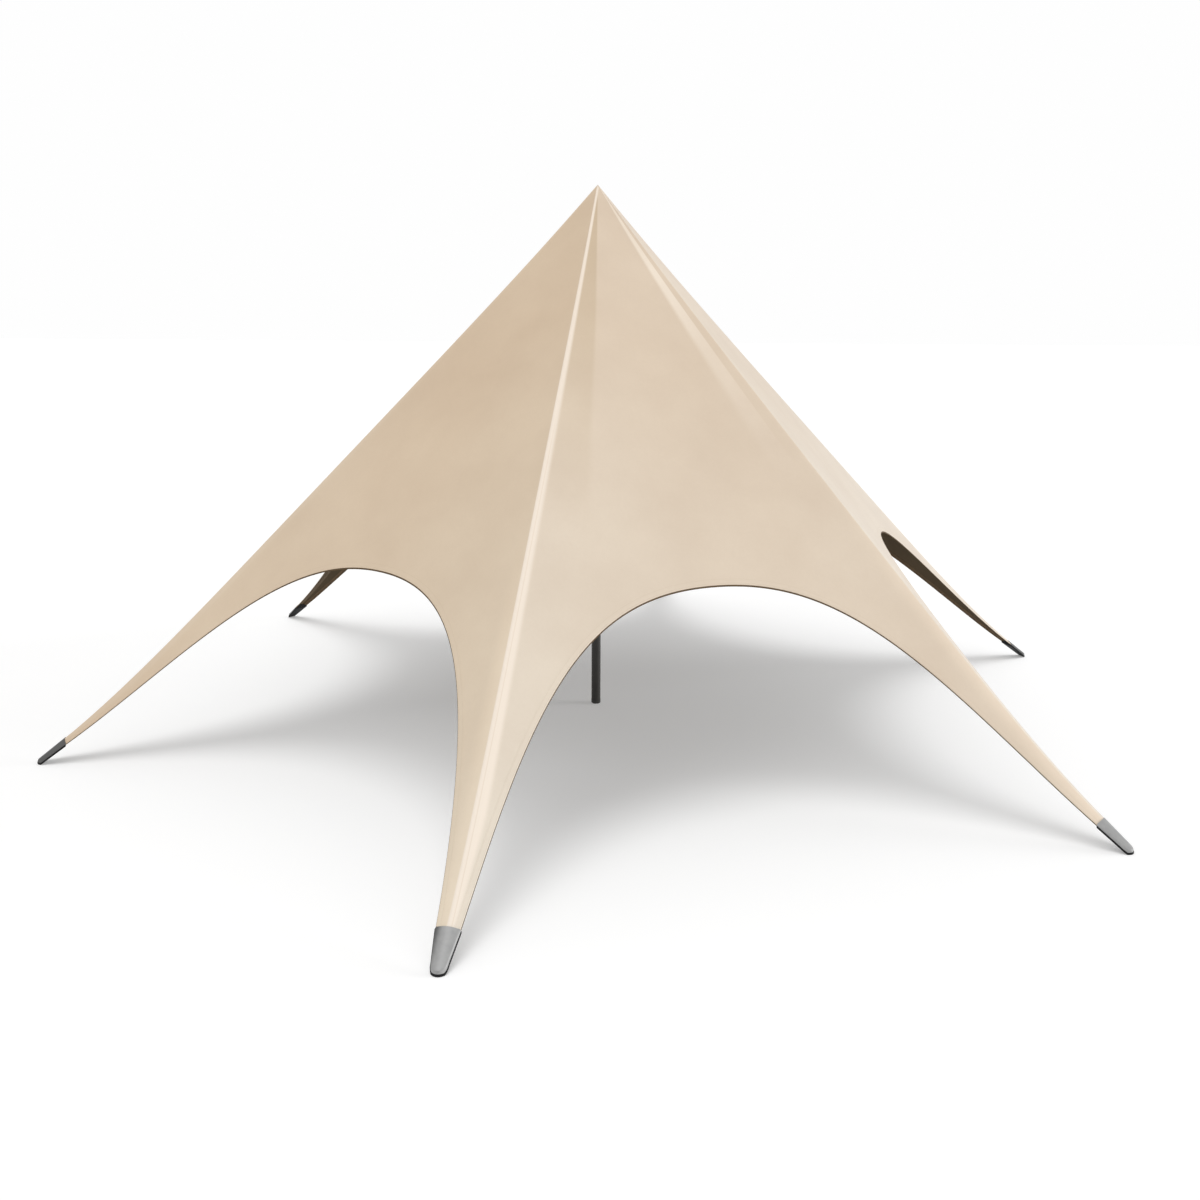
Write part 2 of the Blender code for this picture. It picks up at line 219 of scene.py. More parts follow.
def canopy_height(run, side):
    """Height of the cloth's nominal outer surface, for arrays of run and side."""
    run = np.maximum(np.asarray(run, float), 1e-6)
    side = np.abs(np.asarray(side, float))
    rounding = RIDGE_ROUNDING * np.maximum(0, (run - PATCH_RADIUS) / (SPREAD - PATCH_RADIUS))
    across = side / (run * TAN_HALF)
    eased = np.hypot(side, rounding) - rounding * np.maximum(0, 1 - across**2) ** 2
    reach = run * COS_HALF + eased * SIN_HALF
    offset = (run * SIN_HALF - side * COS_HALF) / (reach * TAN_HALF)
    dish = PANEL_DISH * (reach / ARCH_REACH) ** DISH_POWER * np.maximum(0, 1 - offset**2)
    return ridge_height((reach + dish) / COS_HALF)


def arch_curve(shares):
    """(run, side) of the arched edge and its inward normals, from the crown at 0 to the cap at 1."""
    shares = np.asarray(shares, float)[:, None]
    crown = np.array([ARCH_REACH * COS_HALF, ARCH_REACH * SIN_HALF])
    points = (
        crown,
        crown + ARCH_FULLNESS * np.array([SIN_HALF, -COS_HALF]),
        np.array([SHOULDER_RUN, SHOULDER_SIDE]),
        np.array([CAP_START, ARM_TIP_HALF_WIDTH]),
    )
    rest = 1 - shares
    weights = (rest**3, 3 * shares * rest**2, 3 * shares**2 * rest, shares**3)
    place = sum(w * p for w, p in zip(weights, points))
    slopes = (rest**2, 2 * shares * rest, shares**2)
    along = sum(w * (b - a) for w, a, b in zip(slopes, points, points[1:]))
    inward = np.stack([along[:, 1], -along[:, 0]], axis=1)
    return place, inward / np.linalg.norm(inward, axis=1, keepdims=True)


def hem_line(shares, inset):
    """The line that lies inset inside the arched edge. Near the cap it is drawn so that it ends squarely."""
    place, inward = arch_curve(shares)
    line = place + inset * inward
    end_shift = -inset * arch_curve([1.0])[1][0, 0]
    line[:, 0] += np.asarray(shares) ** 4 * end_shift
    return line


def smooth(share):
    share = np.clip(share, 0, 1)
    return share * share * (3 - 2 * share)


def bead(run, side):
    """Height of the ridge seam's bead above the nominal surface."""
    width = BEAD_WIDTH_PEAK + (BEAD_WIDTH_FOOT - BEAD_WIDTH_PEAK) * run / SPREAD
    ends = smooth(run / BEAD_FADE_PEAK) * smooth((CAP_START - run) / BEAD_FADE_CAP)
    return ends * BEAD_HEIGHT * np.exp(-((side / width) ** 2))


def tension_wave(run, side, edge_distance, phase):
    """Slow waves in the cloth: pulls that fan out from the shoulders and fade at the ridges and edges."""
    fade = smooth(side / WAVE_FROM_RIDGE) * smooth(edge_distance / WAVE_FROM_EDGE)
    angle = np.arctan2(side, run)
    fan = np.sin(angle * FAN_WAVES + phase) * smooth((run - FAN_START) / FAN_RISE)
    slow = np.sin(1.7 * run + 2.3 * side + 1.9 * phase) + 0.6 * np.sin(3.1 * run - 1.3 * side + phase)
    return TENSION_WAVE * fade * (0.55 * fan + 0.45 * slow)


# Mesh helpers


def new_object(name, mesh):
    obj = bpy.data.objects.new(name, mesh)
    bpy.context.scene.collection.objects.link(obj)
    return obj


def add_attribute(mesh, name, values):
    kind = "FLOAT_VECTOR" if np.ndim(values) == 2 else "FLOAT"
    attribute = mesh.attributes.new(name, kind, "POINT")
    key = "vector" if kind == "FLOAT_VECTOR" else "value"
    attribute.data.foreach_set(key, np.asarray(values, np.float32).ravel())


def grid_faces(first, rows, columns, flip=False):
    """Quads of a grid of points numbered from first, row by row."""
    index = first + np.arange(rows * columns).reshape(rows, columns)
    a, b, c, d = index[:-1, :-1], index[:-1, 1:], index[1:, 1:], index[1:, :-1]
    quads = np.stack([a, b, c, d], axis=-1).reshape(-1, 4)
    return quads[:, ::-1] if flip else quads


def arm_to_world(points, azimuth, mirrored=False):
    """Points (side, run, height) of an arm turned so that its run points along the azimuth."""
    points = np.array(points, float)
    if mirrored:
        points[..., 0] *= -1
    turn = math.radians(azimuth - 90)
    c, s = math.cos(turn), math.sin(turn)
    x = c * points[..., 0] - s * points[..., 1]
    y = s * points[..., 0] + c * points[..., 1]
    return np.stack([x, y, points[..., 2]], axis=-1)


def new_mesh(name, points, faces, *materials):
    mesh = bpy.data.meshes.new(name)
    mesh.from_pydata(points, [], faces)
    for material in materials:
        mesh.materials.append(material)
    return mesh


def finish_mesh(mesh, sharp, merge=0.0, flat=0.0, fill=False, outward=True):
    """Merges points that coincide, drops faces without area, fills holes, turns the faces outwards and shades
    the mesh smooth, but for edges that bend more than sharp degrees."""
    bm = bmesh.new()
    bm.from_mesh(mesh)
    if merge:
        bmesh.ops.remove_doubles(bm, verts=bm.verts, dist=merge)
    if flat:
        bmesh.ops.dissolve_degenerate(bm, edges=bm.edges, dist=flat)
    if fill:
        bmesh.ops.holes_fill(bm, edges=[e for e in bm.edges if e.is_boundary], sides=0)
    if outward:
        bmesh.ops.recalc_face_normals(bm, faces=bm.faces)
    bm.to_mesh(mesh)
    bm.free()
    mesh.shade_smooth()
    mesh.set_sharp_from_angle(angle=math.radians(sharp))


def lengths_along(points):
    """The length from the first point of a line to each of its points."""
    steps = np.linalg.norm(np.diff(points, axis=0), axis=1)
    return np.concatenate([[0.0], np.cumsum(steps)])


def set_up(obj, slot, *nodes):
    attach(obj, "root")
    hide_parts(*nodes)


# Materials


class Nodes:
    """A short way to write a node tree."""

    def __init__(self, tree):
        self.tree = tree

    def add(self, kind, inputs=None, **settings):
        node = self.tree.nodes.new(kind)
        for key, value in settings.items():
            setattr(node, key, value)
        return self.fill(node, inputs or {})

    def fill(self, node, inputs):
        """Links each input that is given a socket, and sets the others on the node itself."""
        for key, value in inputs.items():
            if isinstance(value, bpy.types.NodeSocket):
                self.tree.links.new(value, node.inputs[key])
            else:
                node.inputs[key].default_value = value
        return node

    def math(self, operation, a, b=None):
        inputs = {0: a} if b is None else {0: a, 1: b}
        return self.add("ShaderNodeMath", inputs, operation=operation).outputs[0]

    def times(self, product, *factors):
        for factor in factors:
            product = self.math("MULTIPLY", product, factor)
        return product

    def wave(self, value, pitch):
        return self.math("SINE", self.times(value, 2 * math.pi / pitch))

    def plan(self, vector):
        split = self.add("ShaderNodeSeparateXYZ", {"Vector": vector})
        return split.outputs["X"], split.outputs["Y"]

    def attribute(self, name, output="Fac"):
        return self.add("ShaderNodeAttribute", attribute_name=name).outputs[output]

    def noise(self, vector, scale, detail=3.0, roughness=0.5):
        inputs = {"Vector": vector, "Scale": scale, "Detail": detail, "Roughness": roughness}
        return self.add("ShaderNodeTexNoise", inputs).outputs["Fac"]

    def map_range(self, value, low, high, to_low, to_high, smooth_step=False):
        kind = "SMOOTHSTEP" if smooth_step else "LINEAR"
        inputs = {"Value": value, "From Min": low, "From Max": high, "To Min": to_low, "To Max": to_high}
        return self.add("ShaderNodeMapRange", inputs, interpolation_type=kind).outputs["Result"]

    def mix(self, factor, a, b):
        a, b = (value if isinstance(value, bpy.types.NodeSocket) else (*value, 1.0) for value in (a, b))
        return self.add("ShaderNodeMix", {0: factor, 6: a, 7: b}, data_type="RGBA").outputs[2]

    def mottled(self, cloud, dark, light):
        return self.mix(self.map_range(cloud, 0.3, 0.7, 0, 1), dark, light)

    def bump(self, height, strength, distance, normal=None):
        inputs = {"Height": height, "Strength": strength, "Distance": distance}
        if normal is not None:
            inputs["Normal"] = normal
        return self.add("ShaderNodeBump", inputs).outputs["Normal"]


def new_material(name):
    material = bpy.data.materials.new(name)
    material.use_nodes = True
    nodes = Nodes(material.node_tree)
    shader = material.node_tree.nodes["Principled BSDF"]
    return material, nodes, shader


def srgb(red, green, blue):
    """Linear colour from 0 to 255 sRGB values."""
    def linear(value):
        value /= 255
        return value / 12.92 if value <= 0.04045 else ((value + 0.055) / 1.055) ** 2.4
    return (linear(red), linear(green), linear(blue))


def radians(*degrees):
    return tuple(math.radians(value) for value in degrees)


# Arms and bays by their number round from +X, as arm_place gives them
FRONT_LEFT_ARM = -3
FRONT_ARM = -2
FRONT_RIGHT_ARM = -1
BACK_RIGHT_ARM = 0
FRONT_LEFT_BAY = -2
FRONT_RIGHT_BAY = -1
RIGHT_BAY = 0
# Painted light: each bay that shows gets its own cast of brightness and hue. The right bay, seen edge-on,
# gets a paler painted sheen.
BAY_PAINTED_LIGHT = {
    FRONT_LEFT_BAY: (0.03, -0.01, -0.05),
    FRONT_RIGHT_BAY: (0.005, 0.01, 0.045),
    RIGHT_BAY: (0.02, 0.07, 0.17),
}

# A gain is a share of the cloth's colour, a hue says how much of it each channel takes, and a pair of runs
# says between which distances from the mast it comes in or goes out.
# Painted light: the cloth grows paler down the arms.
FOOT_GAIN = 0.13  # at the front foot
FOOT_HUE = (0.7, 1.5, 2.4)
FOOT_SPREAD = radians(14, 48)  # to each side of the front arm
FOOT_RUNS = (1.1, 4.8)
ARM_GAIN = 0.05  # down the other arms, but not at the left foot
ARM_HUE = (0.6, 1.2, 1.9)
ARM_RUNS = (1.4, 3.0)
LEFT_FOOT_RUNS = (3.9, 5.0)
# Painted shade: a dark wedge past the front ridge.
SHADE_WEDGE = 0.21
SHADE_WEDGE_HUE = (0.8, 1.0, 1.45)
SHADE_WEDGE_RUNS = (1.0, 1.8)
SHADE_WEDGE_WIDTHS = radians(9.9, 9.1)
SHADE_WEDGE_SOFTNESS = (0.002, 0.017)  # radians, at its two edges
SHADE_WEDGE_END = 2.7
# Painted highlight: a pale wedge before the front right ridge.
HIGHLIGHT_WEDGE = 0.32
HIGHLIGHT_WEDGE_HUE = (0.62, 0.84, 1.15)
HIGHLIGHT_WEDGE_RUNS = (1.0, 2.5)
HIGHLIGHT_WEDGE_LIMITS = radians(-7.8, -3.1)
HIGHLIGHT_WEDGE_SOFTNESS = (0.026, 0.003)
HIGHLIGHT_WEDGE_FADE = 1.5
# Painted highlight: the rounded crest of the lower arms grows paler.
CREST_GAIN = 0.10
CREST_RISE = (-0.15, -0.01)  # sides between which the crest grows paler, and ends
CREST_FALL = (-0.002, 0.002)
CREST_RUNS = (2.6, 4.0)
# Painted highlight: a pale band along each ridge, strong on the front ridge and faint on the others.
RIDGE_HIGHLIGHT_FRONT = 0.78
RIDGE_HIGHLIGHT_OTHERS = 0.10
RIDGE_HIGHLIGHT_WIDTHS = (0.014, 0.087, 0.050)  # at the peak, where it is widest and at the cap
RIDGE_HIGHLIGHT_WIDEST_RUN = 4.6
RIDGE_HIGHLIGHT_END_RUN = 5.2
RIDGE_HIGHLIGHT_OVERLAP = 0.006  # past the ridge, half of it soft
RIDGE_HIGHLIGHT_SOFT_RUNS = (0.5, 2.0)
RIDGE_HIGHLIGHT_SOFTNESS = (0.006, 0.020)
# Painted highlight: a thin pale line beside the front ridge.
HIGHLIGHT_LINE_GAIN = 0.35
HIGHLIGHT_LINE_SIDE = 0.027
HIGHLIGHT_LINE_SOFTNESS = (0.001, 0.005)
HIGHLIGHT_LINE_RUNS = (1.8, 2.4)
THREAD_SHARE = 0.06
WEAVE_PITCH = 0.0024
RIB_PITCH = 0.0032
WARP_PITCH = 0.0045
STITCH_ROWS = (0.008, 0.033)  # distances from the edge
STITCH_PITCH = 0.006
STITCH_WIDTH = 0.0011
STITCH_SHARE = 0.5

CLOTH_DARK = srgb(212, 192, 167)
CLOTH_LIGHT = srgb(219, 200, 175)
CLOTH_THREAD = srgb(196, 174, 146)
# Colour of the painted highlight along the ridges.
RIDGE_HIGHLIGHT_COLOR = srgb(245, 232, 217)
CLOTH_STITCH = srgb(190, 168, 138)
# The inner face's dark brown is partly a darker backing and partly painted shade of the tent's inside.
INNER_DARK = srgb(68, 54, 34)
INNER_LIGHT = srgb(78, 63, 41)
# The hem tape's dark brown is partly its own colour and partly painted shade of the cloth's shaded edge.
HEM_DARK = srgb(84, 66, 45)
HEM_LIGHT = srgb(102, 82, 57)
STRAP_DARK = srgb(84, 70, 51)
STRAP_LIGHT = srgb(100, 84, 62)
CAP_DARK = srgb(157, 157, 157)
CAP_LIGHT = srgb(171, 171, 170)
# Painted shade: the front cap's left flank and the caps of two arms are darkened.
CAP_FLANK_PAINTED_SHADE = 0.7
CAP_FLANK_SHADE_SIDES = (-0.088, -0.030)
CAP_PAINTED_SHADES = {FRONT_LEFT_ARM: 0.66, BACK_RIGHT_ARM: 0.7}
RUBBER_DARK = srgb(18, 18, 19)
RUBBER_LIGHT = srgb(30, 30, 31)
MAST_DARK = srgb(48, 47, 45)
MAST_LIGHT = srgb(58, 57, 54)


def weave_height(nodes, cloth):
    """A plain weave: warp and weft threads that cross over and under."""
    across, along = nodes.plan(cloth)
    return nodes.times(nodes.wave(across, WEAVE_PITCH), nodes.wave(along, WEAVE_PITCH))


def arm_place(nodes):
    """Where a point lies: its place and azimuth, its run along the nearest arm, its side and its turn from
    that arm's ridge, both signed, and the numbers of its arm and its bay, counted round from +X."""
    place = nodes.add("ShaderNodeTexCoord").outputs["Object"]
    x, y = nodes.plan(place)
    azimuth = nodes.math("ARCTAN2", y, x)
    bays_round = nodes.math("DIVIDE", azimuth, 2 * HALF_BAY)
    arm = nodes.math("FLOOR", bays_round)
    bay = nodes.math("ROUND", bays_round)
    ridge = nodes.times(nodes.math("ADD", arm, 0.5), 2 * HALF_BAY)
    turn = nodes.math("SUBTRACT", azimuth, ridge)
    plan = nodes.add("ShaderNodeVectorMath", {0: place, 1: (1.0, 1.0, 0.0)}, operation="MULTIPLY").outputs[0]
    radius = nodes.add("ShaderNodeVectorMath", {0: plan}, operation="LENGTH").outputs["Value"]
    run = nodes.times(radius, nodes.math("COSINE", turn))
    side = nodes.times(radius, nodes.math("SINE", turn))
    return SimpleNamespace(place=place, azimuth=azimuth, run=run, side=side, turn=turn, arm=arm, bay=bay)


def band(nodes, value, low, high, low_soft, high_soft):
    """1 between two limits, with an edge of its own softness at each."""
    limits = []
    for limit, soft in ((low, low_soft), (high, high_soft)):
        limits.append((nodes.math("SUBTRACT", limit, soft), nodes.math("ADD", limit, soft)))
    rise = nodes.map_range(value, *limits[0], 0, 1, True)
    fall = nodes.map_range(value, *limits[1], 1, 0, True)
    return nodes.times(rise, fall)


def is_number(nodes, value, number):
    return nodes.math("COMPARE", value, float(number))


def brightened(nodes, color, gain, hue=(1.0, 1.0, 1.0)):
    """The colour times one plus the gain, which counts for each channel as much as hue says."""
    gains = nodes.add("ShaderNodeVectorMath", {0: hue, "Scale": gain}, operation="SCALE").outputs[0]
    added = nodes.add("ShaderNodeVectorMath", {0: color, 1: gains}, operation="MULTIPLY").outputs[0]
    return nodes.add("ShaderNodeVectorMath", {0: color, 1: added}, operation="ADD").outputs[0]


def painted_arm_light(nodes, base, at):
    """Painted light: the cloth is painted paler down the arms, most of all down the front one, and not at the
    front left foot.
    """
    front_low, front_high = (-math.cos(spread) for spread in FOOT_SPREAD)
    to_front = nodes.map_range(nodes.math("SINE", at.azimuth), front_low, front_high, 1, 0, True)
    foot = nodes.times(nodes.map_range(at.run, *FOOT_RUNS, 0.0, FOOT_GAIN), to_front)
    base = brightened(nodes, base, foot, FOOT_HUE)
    is_left = is_number(nodes, at.arm, FRONT_LEFT_ARM)
    left_foot = nodes.times(nodes.map_range(at.run, *LEFT_FOOT_RUNS, 0, 1), is_left)
    arms = nodes.map_range(at.run, *ARM_RUNS, 0.0, ARM_GAIN)
    for other in (to_front, left_foot):
        arms = nodes.times(arms, nodes.math("SUBTRACT", 1.0, other))
    return brightened(nodes, base, arms, ARM_HUE)


def painted_ridge_wedges(nodes, base, at):
    """Painted shade in a dark wedge past the front ridge, and a painted highlight in a pale wedge before the
    front right ridge.
    """
    # painted shade past the front ridge
    width = nodes.map_range(at.run, *SHADE_WEDGE_RUNS, *SHADE_WEDGE_WIDTHS)
    dark = band(nodes, at.turn, 0.0, width, *SHADE_WEDGE_SOFTNESS)
    fade = nodes.map_range(at.run, 0.0, SHADE_WEDGE_END, -SHADE_WEDGE, 0.0)
    dark = nodes.times(dark, fade, is_number(nodes, at.arm, FRONT_ARM))
    base = brightened(nodes, base, dark, SHADE_WEDGE_HUE)
    # painted highlight before the front right ridge
    pale = band(nodes, at.turn, *HIGHLIGHT_WEDGE_LIMITS, *HIGHLIGHT_WEDGE_SOFTNESS)
    fade = nodes.math("POWER", nodes.map_range(at.run, *HIGHLIGHT_WEDGE_RUNS, 1.0, 0.0), HIGHLIGHT_WEDGE_FADE)
    pale = nodes.times(pale, fade, HIGHLIGHT_WEDGE, is_number(nodes, at.arm, FRONT_RIGHT_ARM))
    return brightened(nodes, base, pale, HIGHLIGHT_WEDGE_HUE)


def painted_ridge_highlights(nodes, base, at):
    """Painted highlights along the ridges: a paler crest on the lower arms, a pale band beside each ridge
    that is strong on the front ridge and faint on the others, and a thin pale line beside the front ridge.
    """
    front = is_number(nodes, at.arm, FRONT_ARM)
    # painted highlight on the crest
    crest = nodes.map_range(at.side, *CREST_RISE, 0, 1, True)
    crest = nodes.times(crest, nodes.map_range(at.side, *CREST_FALL, 1, 0, True))
    crest = nodes.times(crest, nodes.map_range(at.run, *CREST_RUNS, 0.0, CREST_GAIN, True))
    base = brightened(nodes, base, crest)
    # painted highlight: the pale band along each ridge
    peak_width, widest, cap_width = RIDGE_HIGHLIGHT_WIDTHS
    width = nodes.map_range(at.run, 0.0, RIDGE_HIGHLIGHT_WIDEST_RUN, peak_width, widest)
    narrowing = nodes.map_range(at.run, RIDGE_HIGHLIGHT_WIDEST_RUN, RIDGE_HIGHLIGHT_END_RUN, widest, cap_width)
    width = nodes.math("MINIMUM", width, narrowing)
    soft = nodes.map_range(at.run, *RIDGE_HIGHLIGHT_SOFT_RUNS, *RIDGE_HIGHLIGHT_SOFTNESS)
    seam = band(nodes, at.side, -RIDGE_HIGHLIGHT_OVERLAP, width, RIDGE_HIGHLIGHT_OVERLAP / 2, soft)
    share = nodes.math("ADD", nodes.times(front, RIDGE_HIGHLIGHT_FRONT - RIDGE_HIGHLIGHT_OTHERS), RIDGE_HIGHLIGHT_OTHERS)
    base = nodes.mix(nodes.times(seam, share), base, RIDGE_HIGHLIGHT_COLOR)
    # painted highlight: a thin pale line beside the front ridge
    from_highlight_line = nodes.math("ABSOLUTE", nodes.math("SUBTRACT", at.side, HIGHLIGHT_LINE_SIDE))
    highlight_line = nodes.map_range(from_highlight_line, *HIGHLIGHT_LINE_SOFTNESS, 1, 0, True)
    highlight_line = nodes.times(highlight_line, nodes.map_range(at.run, *HIGHLIGHT_LINE_RUNS, 0.0, HIGHLIGHT_LINE_GAIN, True))
    return nodes.mix(nodes.times(highlight_line, front), base, CLOTH_LIGHT)


def outer_cloth_material():
    """Beige cloth, with light and shade painted into its colour: each bay that shows has its own painted cast
    of light, the arms are painted paler towards the feet, and painted shade and highlights lie beside the
    ridges.
    """
    material, nodes, shader = new_material("cloth_outer")
    cloth = nodes.attribute("cloth", "Vector")
    edge = nodes.attribute("edge_distance")
    along = nodes.attribute("seam_run")
    at = arm_place(nodes)
    fine = nodes.noise(at.place, 38.0, 3.0, 0.6)
    threads = nodes.times(nodes.map_range(fine, 0.35, 0.65, 0, 1), THREAD_SHARE)
    base = nodes.mottled(nodes.noise(at.place, 1.3, 4.0, 0.55), CLOTH_DARK, CLOTH_LIGHT)
    base = nodes.mix(threads, base, CLOTH_THREAD)
    # painted light and shade, laid over the cloth's own colour
    for number, cast in BAY_PAINTED_LIGHT.items():
        base = brightened(nodes, base, is_number(nodes, at.bay, number), cast)
    base = painted_arm_light(nodes, base, at)
    base = painted_ridge_wedges(nodes, base, at)
    base = painted_ridge_highlights(nodes, base, at)
    stitch = stitch_mask(nodes, edge, along)
    base = nodes.mix(nodes.times(stitch, STITCH_SHARE), base, CLOTH_STITCH)
    normal = nodes.bump(weave_height(nodes, cloth), 0.10, 0.0004)
    normal = nodes.bump(stitch, 0.5, 0.0008, normal)
    normal = nodes.bump(nodes.noise(at.place, 4.0, 3.0, 0.5), 0.10, 0.02, normal)
    nodes.fill(shader, {
        "Base Color": base,
        "Roughness": 0.46,
        "Specular IOR Level": 0.45,
        "Sheen Weight": 0.18,
        "Sheen Roughness": 0.45,
        "Sheen Tint": (1.0, 0.95, 0.88, 1.0),
        "Normal": normal,
    })
    return material


def stitch_mask(nodes, distance, along):
    """The rows of thread along the hem, in dashes."""
    found = None
    dash = nodes.map_range(nodes.wave(along, STITCH_PITCH), -0.5, 0.1, 0, 1, True)
    for row in STITCH_ROWS:
        away = nodes.math("ABSOLUTE", nodes.math("SUBTRACT", distance, row))
        line = nodes.map_range(away, STITCH_WIDTH * 0.4, STITCH_WIDTH, 1, 0, True)
        line = nodes.times(line, dash)
        found = line if found is None else nodes.math("MAXIMUM", found, line)
    return found


# Dark brown inner face: partly a darker backing, partly painted shade of the tent's inside.
def inner_cloth_material():
    material, nodes, shader = new_material("cloth_inner")
    cloth = nodes.attribute("cloth", "Vector")
    nodes.fill(shader, {
        "Base Color": nodes.mottled(nodes.noise(cloth, 1.1, 4.0, 0.55), INNER_DARK, INNER_LIGHT),
        "Roughness": 0.66,
        "Specular IOR Level": 0.18,
        "Normal": nodes.bump(weave_height(nodes, cloth), 0.12, 0.0004),
    })
    return material


def webbing_material(name, dark, light, roughness):
    """Woven webbing: ribs across it and a fainter warp along it."""
    material, nodes, shader = new_material(name)
    strap = nodes.attribute("strap", "Vector")
    across, along = nodes.plan(strap)
    warp = nodes.times(nodes.wave(across, WARP_PITCH), 0.5)
    weave = nodes.math("ADD", nodes.wave(along, RIB_PITCH), warp)
    nodes.fill(shader, {
        "Base Color": nodes.mottled(nodes.noise(strap, 9.0, 3.0, 0.5), dark, light),
        "Roughness": roughness,
        "Specular IOR Level": 0.3,
        "Normal": nodes.bump(weave, 0.35, 0.0006),
    })
    return material


def cap_material():
    """Satin grey cast alloy with a fine grain. Painted shade darkens two caps and the front cap's left flank.
    """
    material, nodes, shader = new_material("cap_metal")
    at = arm_place(nodes)
    grain = nodes.noise(at.place, 420.0, 2.0, 0.6)
    cloud = nodes.noise(at.place, 16.0, 4.0, 0.6)
    base = nodes.mottled(cloud, CAP_DARK, CAP_LIGHT)
    # painted shade on the front cap's left flank and over two whole caps
    flank = nodes.map_range(at.side, *CAP_FLANK_SHADE_SIDES, -CAP_FLANK_PAINTED_SHADE, 0.0, True)
    flank = nodes.times(flank, is_number(nodes, at.arm, FRONT_ARM))
    base = brightened(nodes, base, flank)
    for number, shade in CAP_PAINTED_SHADES.items():
        base = brightened(nodes, base, nodes.times(is_number(nodes, at.arm, number), -shade))
    nodes.fill(shader, {
        "Base Color": base,
        "Metallic": 0.35,
        "Specular IOR Level": 0.3,
        "Roughness": nodes.map_range(cloud, 0.3, 0.7, 0.48, 0.58),
        "Normal": nodes.bump(grain, 0.12, 0.0005),
    })
    return material


def rubber_material():
    material, nodes, shader = new_material("sole_rubber")
    place = nodes.add("ShaderNodeTexCoord").outputs["Object"]
    cloud = nodes.noise(place, 24.0, 4.0, 0.6)
    nodes.fill(shader, {
        "Base Color": nodes.mix(nodes.map_range(cloud, 0.35, 0.7, 0, 1), RUBBER_DARK, RUBBER_LIGHT),
        "Roughness": nodes.map_range(cloud, 0.3, 0.7, 0.6, 0.75),
        "Specular IOR Level": 0.2,
        "Normal": nodes.bump(nodes.noise(place, 600.0, 2.0, 0.5), 0.2, 0.0006),
    })
    return material


def powder_coat_material(name, dark, light, roughness):
    """Powder-coated tube: a fine orange-peel surface."""
    material, nodes, shader = new_material(name)
    place = nodes.add("ShaderNodeTexCoord").outputs["Object"]
    cloud = nodes.noise(place, 7.0, 4.0, 0.6)
    nodes.fill(shader, {
        "Base Color": nodes.mottled(cloud, dark, light),
        "Roughness": nodes.map_range(cloud, 0.3, 0.7, roughness - 0.04, roughness + 0.05),
        "Metallic": 0.15,
        "Normal": nodes.bump(nodes.noise(place, 520.0, 2.0, 0.5), 0.12, 0.0004),
    })
    return material


def make_materials():
    return {
        "outer": outer_cloth_material(),
        "inner": inner_cloth_material(),
        "hem": webbing_material("hem_webbing", HEM_DARK, HEM_LIGHT, 0.75),
        "strap": webbing_material("strap_webbing", STRAP_DARK, STRAP_LIGHT, 0.7),
        "cap": cap_material(),
        "sole": rubber_material(),
        "mast": powder_coat_material("mast_coat", MAST_DARK, MAST_LIGHT, 0.42),
        "fitting": powder_coat_material("fitting_coat", RUBBER_DARK, RUBBER_LIGHT, 0.5),
    }


# Canopy


ROWS_ABOVE = 34
ROW_CROWDING = 1.25  # above the crown the rows lie closer together towards the peak
ROWS_ALONG = 62
RIDGE_SIDES = (0.0, 0.0035, 0.007, 0.0105, 0.014, 0.018, 0.0225, 0.028, 0.036, 0.048)
RIDGE_MARGIN = 0.004
MIDDLE_COLUMNS = 13
HEM_INSETS = (0.0400, 0.0392, 0.020, 0.008, 0.0045, 0.0025, 0.0012, 0.0004, 0.0)
BODY_COLUMNS = len(RIDGE_SIDES) + MIDDLE_COLUMNS
EDGE_SAMPLES = 400
BAY_OFFSET = 7.0  # sets the bays apart in the weave's coordinates


def row_sides(inner_side):
    """Sides of a row's points from the ridge to the hem: close at the ridge, then evenly spread."""
    scale = min(1.0, inner_side / (RIDGE_SIDES[-1] + RIDGE_MARGIN))
    near = np.array(RIDGE_SIDES) * scale
    share = np.arange(1, MIDDLE_COLUMNS + 1) / MIDDLE_COLUMNS
    return np.concatenate([near, near[-1] + (inner_side - near[-1]) * share])


def edge_drop(inset):
    """How far the cloth's outer face has turned down at this distance from its edge."""
    inside = np.clip(EDGE_RADIUS - inset, 0, EDGE_RADIUS)
    return EDGE_RADIUS - np.sqrt(EDGE_RADIUS**2 - inside**2)


